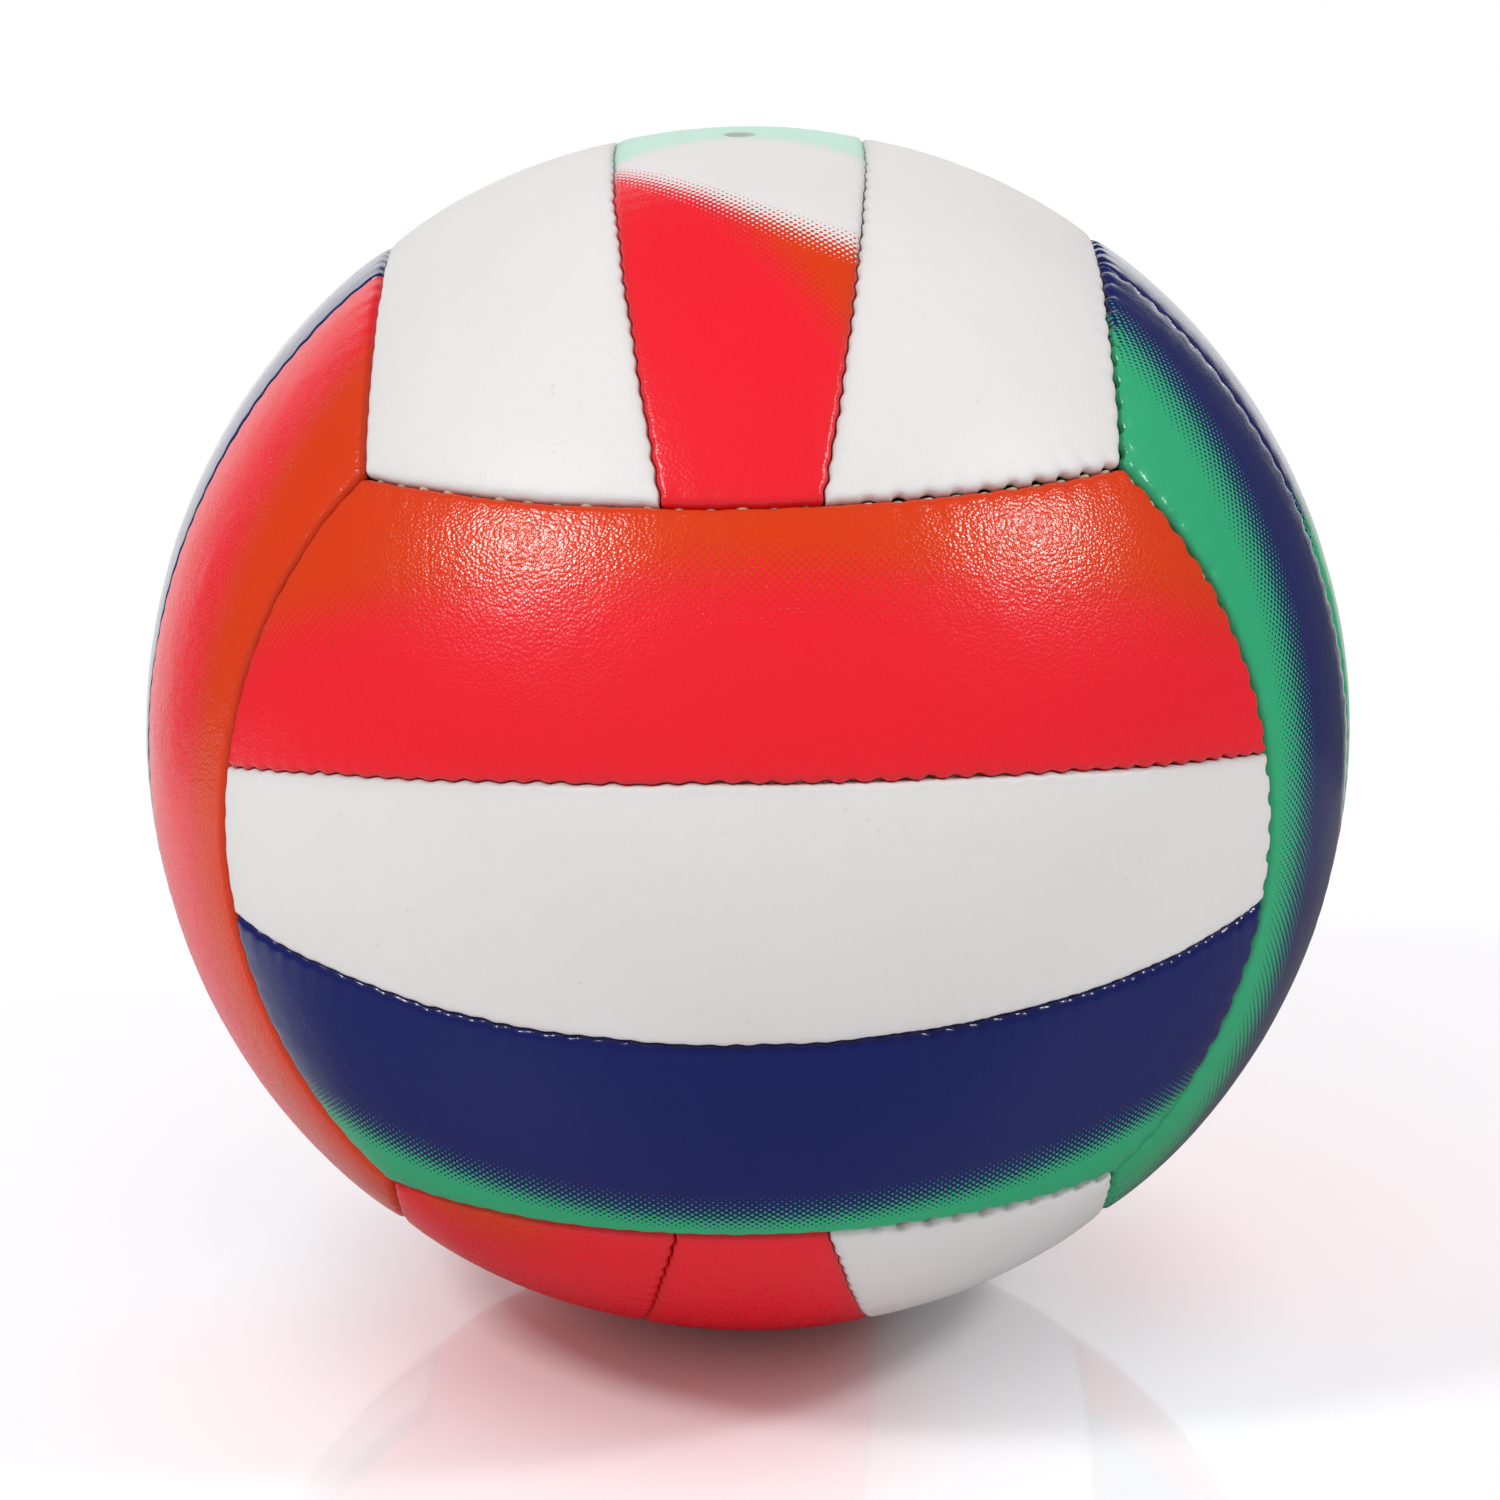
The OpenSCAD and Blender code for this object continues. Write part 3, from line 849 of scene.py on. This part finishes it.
# The valve: a moulded rubber housing, whose flange is bonded to the bladder, and a soft core pushed
# into it, which closes round the needle.
rubber, start, shader = new_material("valve_rubber", {"Specular IOR Level": 0.2})
spot = start.node("ShaderNodeTexCoord", out="Object")
bloom = spot.noise(420, 4)
tint = bloom.between(srgb(24, 18, 15), srgb(54, 42, 34))
grit = start.node("ShaderNodeBump", None, {"Height": bloom, "Distance": 0.1 * mm})
feed(shader, Base_Color=tint, Roughness=0.65 + 0.3 * bloom, Normal=grit)
dress(rubber, "valve_housing", "valve_core")

# The stand: a pale, polished table top with a soft reflection, in front of a white backdrop. For camera
# rays it glows, away from the ball only: painted light. For the ball's gloss its colour is painted dim
# grey at the viewer's side, a painted shade, and stays pale behind the ball and at its left.
floor_side = 1.3
floor_front = 3.0
floor_edge_px = 847
floor_level = -ball_radius
sight = Vector((0, (picture_px / 2 - floor_edge_px) / focal_px, -1))
sight = to_camera.transposed() @ sight
floor_back = camera_place.y + sight.y * (floor_level - camera_place.z) / sight.z
floor_mesh = bpy.data.meshes.new("floor")
floor_corners = [
    (-floor_side, -floor_front, floor_level),
    (floor_side, -floor_front, floor_level),
    (floor_side, floor_back, floor_level),
    (-floor_side, floor_back, floor_level),
]
floor_mesh.from_pydata(floor_corners, [], [(0, 1, 2, 3)])
floor = bpy.data.objects.new("floor", floor_mesh)
scene.collection.objects.link(floor)
polish, start, shader = new_material("polished_white", {"Specular IOR Level": 0.8, "Emission Strength": 1})
spot = start.node("ShaderNodeTexCoord", out="Object")
seen = start.node("ShaderNodeLightPath", out="Is Camera Ray")
# Painted light: for camera rays the table glows from a little outside the ball outward, so it reads white
# while the shadow beside the ball stays dark.
glow_away_from_ball = spot.vector("LENGTH", spot, out="Value").eased(1.04 * ball_radius, 1.38 * ball_radius)
glow = (seen * glow_away_from_ball).between((0, 0, 0, 1), (0.23, 0.23, 0.24, 1))
pale = spot.noise(3, 2).between(srgb(243, 243, 246), srgb(247, 247, 249))
bearing = spot.vector("NORMALIZE", spot.vector("MULTIPLY", spot, (1, 1, 0)))
bearing = spot.node("ShaderNodeSeparateXYZ", None, {0: bearing})
behind = (bearing.also("Y") - 0.2 * bearing.also("X")).eased(0.65, 0.88)
at_left = (0.63 * bearing.also("Y") - 0.78 * bearing.also("X")).eased(0.5, 1.05)
# Painted shade: seen in gloss, the table turns dark grey, except behind the ball and at its left.
painted_dim_in_gloss = seen.also("Is Glossy Ray") * 0.9 * (1 - behind.at_least(at_left))
top_colour = painted_dim_in_gloss.between(pale, srgb(80, 80, 82))
feed(shader, Base_Color=top_colour, Roughness=0.5 - 0.44 * seen, Emission_Color=glow)
floor_mesh.materials.append(polish)

# The light: a white studio all round, whose gloss comes from the white wall behind the ball alone, and
# one soft lamp at either side.
world = bpy.data.worlds.new("studio")
scene.world = world
world.use_nodes = True
sky = Flow(world.node_tree)
background = world.node_tree.nodes["Background"]
rays = sky.node("ShaderNodeLightPath", out="Is Camera Ray")
way = sky.node("ShaderNodeSeparateXYZ", None, {0: sky.node("ShaderNodeTexCoord", out="Generated")})
studio_light = 0.54
dim_side = 0.08
mirrored = rays.also("Is Glossy Ray").at_least(rays.also("Is Transmission Ray"))
backdrop = way.also("Y") - 0.15 * way.also("X")
mirror_view = dim_side + (1 - dim_side) * backdrop.eased(0.84, 0.88)
glow = studio_light + mirrored * (mirror_view - studio_light)
feed(background, Strength=glow + rays * (1 - glow))
background.inputs["Color"].default_value = (1, 1, 1, 1)

lamps = {
    "left_lamp": ((-0.57, -0.42, 0.71), 1.3, 0.2, 6.4),
    "right_lamp": ((0.73, -0.25, 0.64), 1.3, 0.15, 4.7),
}
for name, (direction, distance, width, power) in lamps.items():
    lamp_data = bpy.data.lights.new(name, "AREA")
    lamp_data.size = width
    lamp_data.energy = power
    lamp = bpy.data.objects.new(name, lamp_data)
    lamp.location = Vector(direction).normalized() * distance
    lamp.rotation_euler = Vector(direction).to_track_quat("Z", "Y").to_euler()
    scene.collection.objects.link(lamp)
